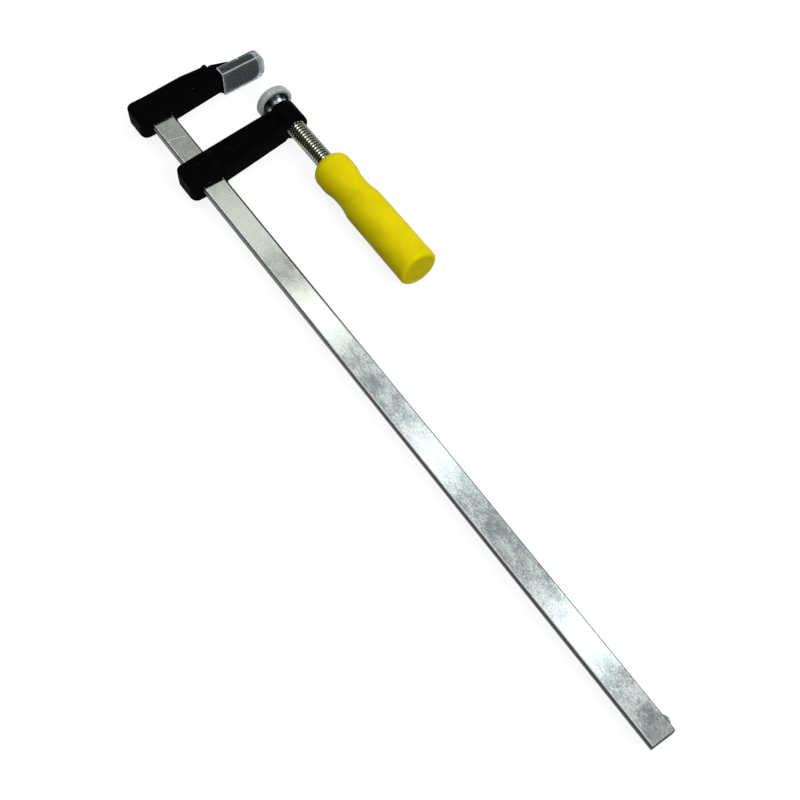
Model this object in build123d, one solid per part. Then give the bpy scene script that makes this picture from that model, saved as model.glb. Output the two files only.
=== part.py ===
from build123d import *
from math import ceil, sqrt
import os

# A bar clamp lying on its side: a fixed jaw on the end of a flat bar, a sliding jaw, and a screw spindle
# with a swivel pad and a handle. Lengths are in millimetres.
# The origin is on the fixed jaw's clamping face, in line with the spindle. +X runs along the bar from the
# fixed jaw to the bar's free end, +Y from the bar towards the tips of the jaws, and +Z is up.

# Fits and cutters
overrun = 2.0            # how far a cutter runs past what it cuts
press_gap = 0.02         # all round between pieces that are pressed or riveted together
slip_gap = 0.25          # all round between the sliding jaw and the bar
cap_gap = 0.1            # all round between a soft cap and the metal inside it
thread_gap = 0.15        # all round between the spindle's thread and the tapped boss
ball_gap = 0.1           # all round between the spindle's ball and its socket

# The clamp as a whole
throat = 80.0            # bar's inner edge to the spindle's axis
opening = 38.0           # between the two clamping faces

# Bar
bar_width = 20.0
bar_thickness = 9.5
bar_round = 1.0          # along its four long edges
bar_end_round = 0.5      # round the cut at its free end
bar_reach = 659.0        # clamping face to the bar's free end
bar_inset = 1.0          # bar's near end, inside the back of the fixed jaw
stop_length = 8.4        # swaged stop, along the bar
stop_height = 1.9        # out of the bar's inner edge
stop_thickness = 6.5
stop_root = 3.0          # how deep the stop runs into the bar
stop_setback = 9.2       # middle of the stop to the bar's free end

# What the two castings share
collar_height = 18.0
collar_back_wall = 10.6  # behind the bar
collar_front_wall = 4.0  # between the bar and the arm
collar_corner = 6.5      # upright corners behind the bar, and inside the rim's root
collar_inner_corner = 2.5
cast_round = 1.5         # along the edges of the castings
rim_end_share = 0.45     # rounding of a rim's end, of the rim's depth
rim_heel = 1.2           # rounding where a rim's outer side meets the collar
rim_bend = 60.0          # rounding where the fixed jaw's back edge bends
web_thickness = 10.0
web_inset = 0.8          # web's edge inside the rim's outer side
ramp_length = 15.0       # from the collar's full height down to the web

# Fixed jaw
collar_lead = 7.2        # collar's face ahead of the clamping face
fixed_collar_length = 29.3
fixed_arm_step = 4.0     # arm's front edge behind the collar's face
fixed_rim_depth = 3.6
fixed_bow = 2.0          # back rim's outer side behind the collar's back
rim_dip = 1.5            # back rim's outer side ahead of the bow, before the knob at its end
rim_short = 29.0         # back rim's end short of the spindle's axis
knob_length = 6.0        # from the dip to the back rim's end
knob_flat = 2.8          # length of the knob's top
rib_rise = 4.0           # rib's highest place past the back rim's end
rib_short = 2.0          # rib's end short of the spindle's axis
rib_knee = 10.0          # rib's bend short of the spindle's axis
rib_knee_depth = 9.7     # rib's back edge behind the tip plate at the bend
tip_root = 13.0          # where the tip plate starts to widen, behind the cap's mouth
tip_flare = 4.0          # length of the widening beside the cap's mouth

# Soft cap over the fixed jaw's tip
cap_length = 42.4
cap_past_axis = 17.0     # cap's closed end past the spindle's axis
cap_width = 26.4
cap_depth = 10.5
cap_wall = 1.3
cap_corner = 8.5
cap_round = 1.2
cap_room = 4.0           # between the iron's end and the cap's closed end

# Rivets through the fixed jaw and the bar
rivet_radius = 2.6
rivet_spacing = 14.0

# Pressure pad and its soft cap
pad_radius = 14.4
pad_plate = 4.2          # thickness of the pad's plate
pad_length = 12.5        # soft face to the back of the hub
hub_base_radius = 11.0
hub_end_radius = 8.0
pad_round = 0.8
pad_cap_radius = 16.3
pad_cap_wall = 1.6       # over the pad's face
pad_cap_lip = 1.2        # behind the pad's plate
pad_cap_mouth = 12.9     # radius of the hole in the lip
pad_cap_round = 1.4
pad_clear = 2.0          # between the hub and the boss

# Spindle
thread_radius = 8.0
thread_depth = 1.4
thread_pitch = 3.0
thread_crest_share = 0.28
thread_root_share = 0.26
thread_chamfer = 1.2
thread_lead = 0.5        # thread's front end inside the boss
ball_radius = 4.8
neck_radius = 3.6
socket_mouth_gap = 0.4   # between the neck and the crimped mouth
socket_lip = 1.2         # crimped lip behind the ball
tang_side = 9.0          # square tang in the handle
peen_radius = 6.2
peen_height = 2.4

# Sliding jaw
boss_radius = 12.0
boss_length = 24.5
boss_round = 2.0
collar_trail = 13.2      # collar's back face behind the boss's
slide_collar_length = 30.6
slide_arm_step = 4.1     # arm's back edge ahead of the collar's back face
slide_rim_depth = 4.0
arm_heel = 1.1           # arm's back edge behind the boss's, where they meet

# Handle
handle_reach = 48.5      # bare thread between the boss and the handle
handle_length = 131.5
handle_radius = 17.2
nose_length = 9.0
nose_face_radius = 9.6
nose_pocket = 3.0        # depth of the round pocket where the thread goes in
waist_radius = 15.1
waist_start = 19.0       # from the nose
waist_end = 52.0
grip_end_radius = 17.4
handle_end_round = 3.0
plug_radius = 13.0
plug_thickness = 5.0
plug_sunk = 0.15         # below the handle's rim
plug_round = 0.4
plug_room = 7.0          # behind the plug, for the peened end and the washer
washer_radius = 10.5
washer_thickness = 2.0

# Places that follow from the sizes
bar_y = -(throat + bar_width / 2)
bar_inner_y = -throat
bar_outer_y = bar_inner_y - bar_width
collar_back_y = bar_outer_y - collar_back_wall
collar_front_y = bar_inner_y + collar_front_wall
fixed_back_x = collar_lead - fixed_collar_length
bar_start_x = fixed_back_x + bar_inset
cap_mouth_y = cap_past_axis - cap_length
plate_inset = cap_wall + cap_gap
plate_front_x = -plate_inset
plate_back_x = plate_inset - cap_depth
plate_half = cap_width / 2 - plate_inset
plate_end_y = cap_past_axis - plate_inset - cap_room
pad_back_x = opening + pad_cap_wall + pad_plate
hub_end_x = opening + pad_length
boss_front_x = hub_end_x + pad_clear
boss_back_x = boss_front_x + boss_length
slide_collar_x = boss_back_x + collar_trail
thread_start_x = boss_front_x + thread_lead
nose_x = boss_back_x + handle_reach
handle_end_x = nose_x + handle_length
thread_end_x = nose_x + nose_pocket
plug_face_x = handle_end_x - plug_sunk
plug_back_x = plug_face_x - plug_thickness
washer_x = plug_back_x - plug_room
socket_radius = ball_radius + ball_gap
mouth_radius = neck_radius + socket_mouth_gap
ball_x = hub_end_x - socket_lip - sqrt(socket_radius ** 2 - mouth_radius ** 2)


def plan_prism(corners, height):
    """Upright prism, half above and half below the middle plane, on corners of X, Y and rounding."""
    face = make_face(Polyline(*[(x, y) for x, y, rounding in corners], close=True))
    for x, y, rounding in corners:
        if rounding:
            face = fillet(face.vertices().sort_by_distance((x, y, 0))[0], rounding)
    return extrude(face, height / 2, both=True)


def cast(prism):
    """Upright prism with its upper and lower edges rounded."""
    levels = prism.edges().group_by(Axis.Z)
    return fillet(levels[0] + levels[-1], cast_round)


def side_prism(outline, x_from, x_to):
    """Prism along X on a closed outline given in Y and Z."""
    face = Plane.YZ.offset(x_from) * make_face(outline)
    return extrude(face, x_to - x_from)


def side_outline(half_heights):
    """Closed Y, Z outline, alike above and below the middle plane, from pairs of Y and half height."""
    low = [(y, -half) for y, half in reversed(half_heights)]
    return Polyline(*half_heights, *low, close=True)


def turned(profile):
    """Solid turned about the spindle's axis from a closed profile in X and radius."""
    return revolve(make_face(profile), Axis.X)


def rod(radius, x_from, x_to):
    """Round bar along the spindle's axis."""
    return Pos(x_from, 0, 0) * Rot(0, 90, 0) * Cylinder(
        radius, x_to - x_from, align=(Align.CENTER, Align.CENTER, Align.MIN))


def bar_section(gap):
    """Bar's rounded section, larger by a gap all round, at its place in the YZ plane."""
    section = RectangleRounded(bar_width + gap * 2, bar_thickness + gap * 2, bar_round + gap)
    return Pos(bar_y, 0) * section


def bar_length_of(gap, x_from, x_to):
    """Stretch of the bar, or the slot for it, from one X to another."""
    return extrude(Plane.YZ.offset(x_from) * bar_section(gap), x_to - x_from)


def helical_thread(gap, turns):
    """Solid screw along +Z from the origin, larger by a gap all round, one closed turn after another."""
    pitch = thread_pitch
    root = thread_radius - thread_depth + gap
    crest = thread_radius + gap
    root_flat = pitch * thread_root_share - gap
    crest_flat = pitch * thread_crest_share + gap
    flank = (pitch - root_flat - crest_flat) / 2
    profile = [(root, -root_flat / 2), (root, root_flat / 2), (crest, root_flat / 2 + flank),
               (crest, root_flat / 2 + flank + crest_flat), (root, pitch - root_flat / 2)]
    lines = [Edge.make_helix(pitch, pitch, radius, center=(0, 0, z)) for radius, z in profile]
    one_turn = [Face.make_surface_from_curves(a, b) for a, b in zip(lines, lines[1:])]
    low, high = profile[0][1], profile[-1][1]
    step = [(0, 0, low), *[(radius, 0, z) for radius, z in profile], (0, 0, high)]
    ramp = Face.make_surface_from_curves(lines[0], Edge.make_line((0, 0, low), (0, 0, high)))
    end = [Face(Wire.make_polygon(step, close=True)), ramp]
    faces = [face.moved(Pos(0, 0, turn * pitch)) for turn in range(turns) for face in one_turn]
    faces += [face.moved(Pos(0, 0, turn * pitch)) for turn in (0, turns) for face in end]
    return Solid(Shell(faces))


def thread_along(gap, x_from, x_to):
    """Screw in step with the spindle's thread, which reaches past both given places."""
    before = ceil((thread_start_x - x_from) / thread_pitch) + 1
    start = thread_start_x - before * thread_pitch
    turns = ceil((x_to - start) / thread_pitch) + 1
    return Pos(start, 0, 0) * Rot(0, 90, 0) * helical_thread(gap, turns)


def make_bar():
    """Flat bar with rounded edges and a stop swaged out of its inner edge."""
    bar = bar_length_of(0, bar_start_x, bar_reach)
    bar = fillet(bar.edges().group_by(Axis.X)[-1], bar_end_round)
    half = stop_length / 2
    top = ThreePointArc((-half, 0), (0, stop_height), (half, 0))
    root = Polyline((half, 0), (half, -stop_root), (-half, -stop_root), (-half, 0))
    stop = extrude(make_face([top, root]), stop_thickness / 2, both=True)
    return bar + Pos(bar_reach - stop_setback, bar_inner_y, 0) * stop


def rivet_holes(gap, height):
    """Two upright cylinders through the fixed collar and the bar."""
    middle = collar_lead - fixed_collar_length / 2
    return [Pos(middle + side * rivet_spacing / 2, bar_y, 0) * Cylinder(rivet_radius + gap, height)
            for side in (-1, 1)]


def arm_body(arm, frame):
    """Web of a casting, its collar and rim in one, and the ramp between them, from their XY outlines."""
    slope = side_outline([(bar_y, collar_height / 2), (collar_front_y, collar_height / 2),
                          (collar_front_y + ramp_length, web_thickness / 4)])
    xs = [x for x, y, rounding in arm]
    ramp = side_prism(slope, min(xs), max(xs)) & plan_prism(arm, collar_height - cast_round)
    return cast(plan_prism(arm, web_thickness)) + cast(plan_prism(frame, collar_height)) + ramp


def tip_plate():
    """Wide plate of the fixed jaw's tip, with the widening that joins it to the arm."""
    start_y = cap_mouth_y - tip_root
    front = [(collar_lead - fixed_arm_step, collar_front_y, 0), (plate_front_x, cap_mouth_y - tip_flare, 0),
             (plate_front_x, plate_end_y, 0), (plate_back_x, plate_end_y, 0),
             (plate_back_x, cap_mouth_y - tip_flare, 0), (plate_back_x, collar_front_y, 0)]
    middle = (web_thickness / 2 + plate_half) / 2
    outline = side_outline([(start_y - tip_root, web_thickness / 4),
                            (cap_mouth_y - tip_flare, middle),
                            (cap_mouth_y, plate_half), (plate_end_y, plate_half)])
    face = make_face(outline)
    corners = face.vertices().group_by(Axis.X)[-1]
    face = fillet(corners, cap_corner - plate_inset)
    side = extrude(Plane.YZ.offset(plate_back_x) * face, collar_lead - plate_back_x)
    return side & plan_prism(front, cap_width)


def make_fixed_jaw():
    """Casting on the bar's near end: collar, arm with a rim along both edges, and wide tip plate."""
    bow_x = fixed_back_x - fixed_bow
    rim_x = bow_x + fixed_rim_depth
    mid_y = (bar_inner_y - rim_short) / 2
    rim_y = -rim_short
    dip_y = rim_y - knob_length
    neck_y = cap_mouth_y - tip_flare
    rim_end = fixed_rim_depth * rim_end_share
    arm_front_x = collar_lead - fixed_arm_step
    web_x = bow_x + web_inset
    arm = [(fixed_back_x + web_inset, bar_y, 0), (web_x, mid_y, rim_bend), (web_x + rim_dip, dip_y, 0),
           (bow_x, rim_y + rib_rise, 0), (plate_back_x - rib_knee_depth, -rib_knee, 0),
           (plate_back_x, -rib_short, 0), (plate_front_x - cap_wall, -rib_short, 0),
           (plate_front_x - web_inset, neck_y + web_inset, 0),
           (arm_front_x - web_inset, collar_front_y, 0), (arm_front_x - web_inset, bar_y, 0)]
    frame = [(fixed_back_x, collar_back_y, collar_corner), (collar_lead, collar_back_y, collar_corner),
             (collar_lead, collar_front_y, collar_inner_corner), (arm_front_x, collar_front_y, rim_heel),
             (plate_front_x, neck_y, rim_end), (plate_front_x - fixed_rim_depth, neck_y, rim_end),
             (arm_front_x - fixed_rim_depth, collar_front_y, collar_corner),
             (fixed_back_x + fixed_rim_depth, collar_front_y, collar_corner),
             (rim_x, mid_y, rim_bend), (rim_x + rim_dip, dip_y, rim_heel), (rim_x + rim_dip, rim_y, rim_end),
             (bow_x, rim_y, rim_end), (bow_x, rim_y - knob_flat, rim_heel), (bow_x + rim_dip, dip_y, rim_heel),
             (bow_x, mid_y, rim_bend), (fixed_back_x, bar_y, rim_bend)]
    jaw = arm_body(arm, frame) + tip_plate()
    jaw -= bar_length_of(press_gap, fixed_back_x - overrun, collar_lead + overrun)
    for hole in rivet_holes(press_gap, collar_height + overrun):
        jaw -= hole
    return jaw


def cap_outline(inset, mouth_y):
    """Y, Z outline of the tip cap, or of the hollow in it, with its closed end rounded."""
    half = cap_width / 2 - inset
    end_y = cap_past_axis - inset
    face = make_face(side_outline([(mouth_y, half), (end_y, half)]))
    return fillet(face.vertices().group_by(Axis.X)[-1], cap_corner - inset)


def make_tip_cap():
    """Soft cap, open at its mouth and slotted at its back for the jaw's rib."""
    outside = extrude(Plane.YZ.offset(-cap_depth) * cap_outline(0, cap_mouth_y), cap_depth)
    rims = outside.edges().filter_by(GeomType.LINE).filter_by(Axis.Y)
    outside = fillet(outside.edges().filter_by(GeomType.CIRCLE) + rims +
                     outside.edges().filter_by(Axis.Z).group_by(Axis.Y)[-1], cap_round)
    hollow = extrude(Plane.YZ.offset(cap_wall - cap_depth) * cap_outline(cap_wall, cap_mouth_y - overrun),
                     cap_depth - cap_wall * 2)
    slot_half = web_thickness / 2 + slip_gap
    slot = side_prism(side_outline([(cap_mouth_y - overrun, slot_half), (slip_gap - rib_short, slot_half)]),
                      -cap_depth - overrun, -cap_depth / 2)
    return outside - hollow - slot


def make_sliding_jaw():
    """Casting that slides on the bar: collar, arm with a rim along both edges, and tapped boss."""
    front_x = slide_collar_x - slide_collar_length
    tip_x = boss_front_x + boss_round / 2
    arm_back_x = slide_collar_x - slide_arm_step
    heel_x = boss_back_x + arm_heel
    boss_y = -boss_radius / 2
    lean = (front_x - tip_x) / (boss_y - bar_y)
    back_front_x = front_x + lean * (bar_y - collar_back_y)
    root_x = front_x - lean * (collar_front_y - bar_y) + slide_rim_depth
    rim_end = slide_rim_depth * rim_end_share
    inside_x = boss_back_x - boss_round
    arm = [(front_x + web_inset, bar_y, 0), (tip_x + web_inset, boss_y, 0), (inside_x, boss_y, 0),
           (heel_x - web_inset, -boss_radius, 0), (arm_back_x - web_inset, collar_front_y, 0),
           (arm_back_x - web_inset, bar_y, 0)]
    frame = [(back_front_x, collar_back_y, collar_corner), (slide_collar_x, collar_back_y, collar_corner),
             (slide_collar_x, collar_front_y, collar_inner_corner), (arm_back_x, collar_front_y, rim_heel),
             (heel_x, -boss_radius, boss_round), (inside_x, boss_y, 0), (inside_x - slide_rim_depth, boss_y, 0),
             (arm_back_x - slide_rim_depth, collar_front_y, collar_corner),
             (root_x, collar_front_y, collar_corner), (tip_x + slide_rim_depth, boss_y, rim_end),
             (tip_x, boss_y, rim_end)]
    boss = fillet(rod(boss_radius, boss_front_x, boss_back_x).edges().filter_by(GeomType.CIRCLE), boss_round)
    jaw = arm_body(arm, frame) + boss
    jaw -= bar_length_of(slip_gap, tip_x - overrun, slide_collar_x + overrun)
    return jaw - thread_along(thread_gap, boss_front_x - overrun, boss_back_x + overrun)


def make_spindle():
    """Screw with a ball and neck in front, and a square tang with a peened end behind."""
    root = thread_radius - thread_depth
    wide = thread_radius + overrun
    cone = wide - root + thread_chamfer
    trim = turned(Polyline((thread_start_x, 0), (thread_start_x, root - thread_chamfer),
                           (thread_start_x + cone, wide), (thread_end_x, wide), (thread_end_x, 0),
                           close=True))
    screw = thread_along(0, thread_start_x - overrun, thread_end_x + overrun) & trim
    ball = Pos(ball_x, 0, 0) * Sphere(ball_radius)
    neck = rod(neck_radius, ball_x, thread_start_x)
    tang_length = washer_x + washer_thickness - thread_end_x
    tang = Pos(thread_end_x + tang_length / 2, 0, 0) * Box(tang_length, tang_side, tang_side)
    peen = rod(peen_radius, washer_x + washer_thickness, washer_x + washer_thickness + peen_height)
    peen = fillet(peen.edges().group_by(Axis.X)[-1], peen_height / 2)
    return screw + neck + ball + tang + peen


def make_pressure_pad():
    """Swivel pad: a plate with a hub that is crimped over the spindle's ball."""
    face_x = opening + pad_cap_wall
    profile = Polyline((face_x, 0), (face_x, pad_radius), (pad_back_x, pad_radius),
                       (pad_back_x, hub_base_radius), (hub_end_x, hub_end_radius), (hub_end_x, 0),
                       close=True)
    pad = turned(profile)
    rims = pad.edges().filter_by(GeomType.CIRCLE)
    pad = fillet(rims.group_by(SortBy.RADIUS)[-1], pad_round)
    mouth = rod(mouth_radius, ball_x, hub_end_x + overrun)
    return pad - Pos(ball_x, 0, 0) * Sphere(socket_radius) - mouth


def make_pad_cap():
    """Soft cap round the pad's plate, with a lip behind it."""
    back_x = pad_back_x + cap_gap + pad_cap_lip
    outside = rod(pad_cap_radius, opening, back_x)
    outside = fillet(outside.edges().filter_by(GeomType.CIRCLE), pad_cap_round)
    hollow = rod(pad_radius + cap_gap, opening + pad_cap_wall - press_gap, pad_back_x + cap_gap)
    return outside - hollow - rod(pad_cap_mouth, opening + pad_cap_wall, back_x + overrun)


def make_handle():
    """Handle with a rounded nose, a waist and a straight grip, bored for the tang and hollow at its end."""
    nose_end_x = nose_x + nose_length
    waist_x = nose_x + waist_start
    grip_x = nose_x + waist_end
    round_x = handle_end_x - handle_end_round
    nose = EllipticalCenterArc((nose_end_x, nose_face_radius), nose_length, handle_radius - nose_face_radius,
                               start_angle=90, arc_size=90)
    bulb = Line((nose_end_x, handle_radius), (waist_x, handle_radius))
    waist = ThreePointArc((waist_x, handle_radius), ((waist_x + grip_x) / 2, waist_radius),
                          (grip_x, handle_radius))
    grip = Line((grip_x, handle_radius), (round_x, grip_end_radius))
    end = ThreePointArc((round_x, grip_end_radius),
                        (round_x + handle_end_round * sqrt(2) / 2,
                         grip_end_radius - handle_end_round * (1 - sqrt(2) / 2)),
                        (handle_end_x, grip_end_radius - handle_end_round))
    rest = Polyline((handle_end_x, grip_end_radius - handle_end_round), (handle_end_x, 0), (nose_x, 0),
                    (nose_x, nose_face_radius))
    handle = turned([nose, bulb, waist, grip, end, rest])
    bore_side = tang_side + press_gap * 2
    bore = Pos((nose_x + handle_end_x) / 2, 0, 0) * Box(handle_length + overrun, bore_side, bore_side)
    pocket = rod(thread_radius + slip_gap, nose_x - overrun, thread_end_x)
    room = rod(plug_radius + press_gap, washer_x, handle_end_x + overrun)
    return handle - bore - pocket - room


def make_washer():
    """Washer with a square hole, under the peened end of the tang."""
    hole_side = tang_side + press_gap * 2
    disc = rod(washer_radius, washer_x, washer_x + washer_thickness)
    return disc - Pos(washer_x, 0, 0) * Box(washer_thickness + handle_length, hole_side, hole_side)


def make_plug():
    """Plug that closes the handle's end, a little below its rim."""
    plug = rod(plug_radius, plug_back_x, plug_face_x)
    return fillet(plug.edges().group_by(Axis.X)[-1], plug_round)


pieces = {
    "bar": make_bar() - rivet_holes(press_gap, collar_height + overrun),
    "fixed_jaw": make_fixed_jaw(),
    "jaw_rivets": Compound(rivet_holes(0, collar_height)),
    "jaw_tip_cap": make_tip_cap(),
    "sliding_jaw": make_sliding_jaw(),
    "spindle": make_spindle(),
    "pressure_pad": make_pressure_pad(),
    "pad_cap": make_pad_cap(),
    "handle": make_handle(),
    "handle_washer": make_washer(),
    "handle_plug": make_plug(),
}
os.makedirs("parts", exist_ok=True)
for name, piece in pieces.items():
    export_step(piece, f"parts/{name}.step")
    print(name, "volume", round(piece.volume))
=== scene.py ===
# %% [markdown]
# # A bar clamp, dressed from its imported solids
# The clamp lies on its side: a flat zinc-plated bar, a black jaw riveted to its end, a second black jaw
# that slides along it, and a screw with a swivel pad and a yellow handle. Every piece is already packed as
# a solid that rides on the body it moves with. The lesson loads those solids, gives each one its finish,
# and remakes the pieces whose real surface is softer, rounder or finer than a solid model shows.

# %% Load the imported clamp
import math
import bmesh
import bpy
from mathutils import Matrix, Vector, noise


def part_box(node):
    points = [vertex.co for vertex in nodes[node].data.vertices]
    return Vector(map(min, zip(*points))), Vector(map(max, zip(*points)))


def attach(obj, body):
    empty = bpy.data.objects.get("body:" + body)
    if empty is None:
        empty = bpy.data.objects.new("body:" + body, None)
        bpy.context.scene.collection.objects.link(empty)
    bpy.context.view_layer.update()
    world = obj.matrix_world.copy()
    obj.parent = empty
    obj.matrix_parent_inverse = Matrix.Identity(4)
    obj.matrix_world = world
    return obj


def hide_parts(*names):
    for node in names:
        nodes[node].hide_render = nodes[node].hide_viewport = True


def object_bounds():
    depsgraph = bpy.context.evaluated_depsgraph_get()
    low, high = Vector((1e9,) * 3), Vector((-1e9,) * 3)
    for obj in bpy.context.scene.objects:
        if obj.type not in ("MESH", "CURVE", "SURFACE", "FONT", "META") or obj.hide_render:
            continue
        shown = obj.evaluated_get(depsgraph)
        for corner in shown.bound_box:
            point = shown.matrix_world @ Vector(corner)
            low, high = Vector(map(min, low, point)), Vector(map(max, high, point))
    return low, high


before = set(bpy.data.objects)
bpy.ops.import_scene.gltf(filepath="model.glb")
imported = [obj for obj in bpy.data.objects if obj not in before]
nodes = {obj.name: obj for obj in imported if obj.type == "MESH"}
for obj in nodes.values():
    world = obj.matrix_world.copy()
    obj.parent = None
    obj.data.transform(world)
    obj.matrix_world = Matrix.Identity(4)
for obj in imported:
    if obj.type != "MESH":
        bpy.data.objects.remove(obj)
cad_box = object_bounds()
scene = bpy.context.scene
MM = 0.001


def ends_of(node):
    """Where a solid starts and ends along the bar's direction, in millimetres."""
    low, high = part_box(node)
    return low.x / MM, high.x / MM


# %% [markdown]
# ## The camera
# The photograph looks down on the clamp from beyond the bar's free end, so the bar runs from the upper left
# to the lower right. A camera could be aimed with a tracking constraint, but its roll would then be a
# guess. Here its place, its view direction and its right-hand side were worked out from the bar's edges and
# the two jaws, and they are written straight into its matrix.

# %% Place the camera
SENSOR_WIDTH, LENS = 36.0, 60.63
camera_place = Vector((754.2, -379.0, 889.4)) * MM
camera_right = Vector((0.57904, 0.81527, 0.0062))
camera_forward = Vector((-0.39904, 0.29002, -0.86986))
camera_up = camera_right.cross(camera_forward)

camera = bpy.data.objects.new("camera", bpy.data.cameras.new("camera"))
camera.data.sensor_width = SENSOR_WIDTH
camera.data.lens = LENS
turn = Matrix((camera_right, camera_up, -camera_forward)).transposed()
camera.matrix_world = Matrix.Translation(camera_place) @ turn.to_4x4()
scene.collection.objects.link(camera)
scene.camera = camera
print("camera", [round(x, 3) for x in camera_place], "lens", camera.data.lens)

# %% [markdown]
# ## Nodes by the handful
# Finishes and Geometry Nodes are both made of nodes, and a script that adds and links them one line at a
# time is hard to read. One helper puts a node in a tree and fills its sockets, with a value or with a link.
# The others do a sum, split a vector, spread a value over a range, and go from one number to another.

# %% Helpers that build node trees
def put(tree, kind, sockets=None, **traits):
    """A new node. Its sockets get a value, or a link where the value is another node's socket."""
    node = tree.nodes.new(kind)
    for trait, value in traits.items():
        setattr(node, trait, value)
    for socket, value in (sockets or {}).items():
        if isinstance(value, bpy.types.NodeSocket):
            tree.links.new(value, node.inputs[socket])
        else:
            node.inputs[socket].default_value = value
    return node


def calc(tree, operation, *values):
    """The result of one Math node."""
    return put(tree, "ShaderNodeMath", dict(enumerate(values)), operation=operation).outputs[0]


def split(tree, vector):
    """The X, Y and Z of a vector."""
    return put(tree, "ShaderNodeSeparateXYZ", {0: vector}).outputs


def pick(tree, value, low, high, to_low=0.0, to_high=1.0):
    """A value spread from one range to another, softly held at both ends."""
    sockets = {"Value": value, "From Min": low, "From Max": high, "To Min": to_low, "To Max": to_high}
    return put(tree, "ShaderNodeMapRange", sockets, interpolation_type="SMOOTHSTEP").outputs[0]


def between(tree, share, first, second):
    """A number between two others."""
    return calc(tree, "MULTIPLY_ADD", share, calc(tree, "SUBTRACT", second, first), first)


print("helpers: put, calc, split, pick, between")

# %% [markdown]
# ## Floor, sky and lamps
# The clamp was photographed against plain white. More light would also make a floor white, but it would
# bleach the clamp with it. So the sky and the floor show white only to the camera and in reflections, where
# a strength of 1 is white, and light the clamp at a lower level. Bare metal looks like what it mirrors, so
# what it sees of the sky is white along the horizon, dim round the sides and lighter straight above, as in
# a room with a pale ceiling. The floor keeps a share of plain colour, which takes the clamp's soft shadow.

# %% Light the stage
WHITE = 1.0
SKY_LEVEL = 0.34
SIDE_NEAR, SIDE_FAR, CEILING = 0.05, 0.20, 0.46
NEAR_TO_FAR = (-0.3, 0.5)
SIDES_TO_CEILING = (0.60, 0.86)
HORIZON_TO_SIDES = (0.02, 0.16)
FLOOR_SHARE, FLOOR_GLOW, FLOOR_REACH = 0.18, 0.86, 4.0


def ray_kinds(tree):
    """Two masks: rays straight from the camera, and rays by way of a reflection or a clear piece."""
    path = put(tree, "ShaderNodeLightPath").outputs
    return path["Is Camera Ray"], calc(tree, "MAXIMUM", path["Is Glossy Ray"], path["Is Transmission Ray"])


world = bpy.data.worlds.new("white_sky")
world.use_nodes = True
scene.world = world
sky = world.node_tree
towards = split(sky, put(sky, "ShaderNodeTexCoord").outputs["Generated"])
sides = pick(sky, towards["Y"], *NEAR_TO_FAR, SIDE_NEAR, SIDE_FAR)
dome = between(sky, pick(sky, towards["Z"], *SIDES_TO_CEILING), sides, CEILING)
mirrored_sky = between(sky, pick(sky, towards["Z"], *HORIZON_TO_SIDES), WHITE, dome)
from_camera, by_mirror = ray_kinds(sky)
strength = between(sky, from_camera, between(sky, by_mirror, SKY_LEVEL, mirrored_sky), WHITE)
sky.links.new(strength, sky.nodes["Background"].inputs["Strength"])
sky.nodes["Background"].inputs["Color"].default_value = (1, 1, 1, 1)

floor_paint = bpy.data.materials.new("pale_floor")
floor_paint.use_nodes = True
tree = floor_paint.node_tree
tree.nodes.remove(tree.nodes["Principled BSDF"])
matt = put(tree, "ShaderNodeBsdfDiffuse", {"Color": (FLOOR_SHARE, FLOOR_SHARE, FLOOR_SHARE, 1)})
seen = calc(tree, "MULTIPLY", calc(tree, "MAXIMUM", *ray_kinds(tree)), FLOOR_GLOW)
glow = put(tree, "ShaderNodeEmission", {"Strength": seen})
both = put(tree, "ShaderNodeAddShader", {0: matt.outputs[0], 1: glow.outputs[0]})
tree.links.new(both.outputs[0], tree.nodes["Material Output"].inputs["Surface"])

floor_mesh = bpy.data.meshes.new("floor")
floor_z = cad_box[0].z
floor_corners = [(-FLOOR_REACH, -FLOOR_REACH, floor_z), (FLOOR_REACH, -FLOOR_REACH, floor_z),
                 (FLOOR_REACH, FLOOR_REACH, floor_z), (-FLOOR_REACH, FLOOR_REACH, floor_z)]
floor_mesh.from_pydata(floor_corners, [], [(0, 1, 2, 3)])
floor_mesh.materials.append(floor_paint)
floor = bpy.data.objects.new("floor", floor_mesh)
scene.collection.objects.link(floor)
print("floor at", round(floor_z / MM, 2), "mm, sky level", SKY_LEVEL)

# %% [markdown]
# ## Where the lamps hang
# The clamp itself is lit by two softboxes, placed where the bar does not mirror them. All other lamps hang
# level above it to be seen in the metal. Four narrow ones make the pale stretches along the bar, the first
# of them dim. A long strip draws the thin line on the bar's near rounding, and a small lamp beyond the
# fixed jaw makes the streak along the screw. A lamp looks as bright in a mirror as its power over its area,
# so that level is what the table holds.

# %% Hang the lamps
SOFTBOX_SIDE = 0.6
LAMP_HEIGHT, WATTS_PER_AREA = 1.25, 4.0
# name, place, point that it looks at, watts
SOFTBOXES = (("side_softbox", (0.30, 1.05, 1.15), (0.2, 0, 0), 6.7),
             ("end_softbox", (1.25, 0.15, 1.10), (0.25, 0, 0), 13.6))
# name, X, Y, width, depth, level
CEILING_LAMPS = (("first_lamp", -0.72, 0.32, 0.20, 0.8, 0.40), ("second_lamp", -0.455, 0.32, 0.10, 0.8, 1.55),
                 ("third_lamp", -0.095, 0.32, 0.10, 0.8, 1.55), ("fourth_lamp", 0.32, 0.32, 0.11, 0.8, 1.55),
                 ("strip_lamp", -0.15, -0.40, 1.40, 0.12, 2.8), ("screw_lamp", -0.76, -0.22, 0.50, 0.36, 3.4))


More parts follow.
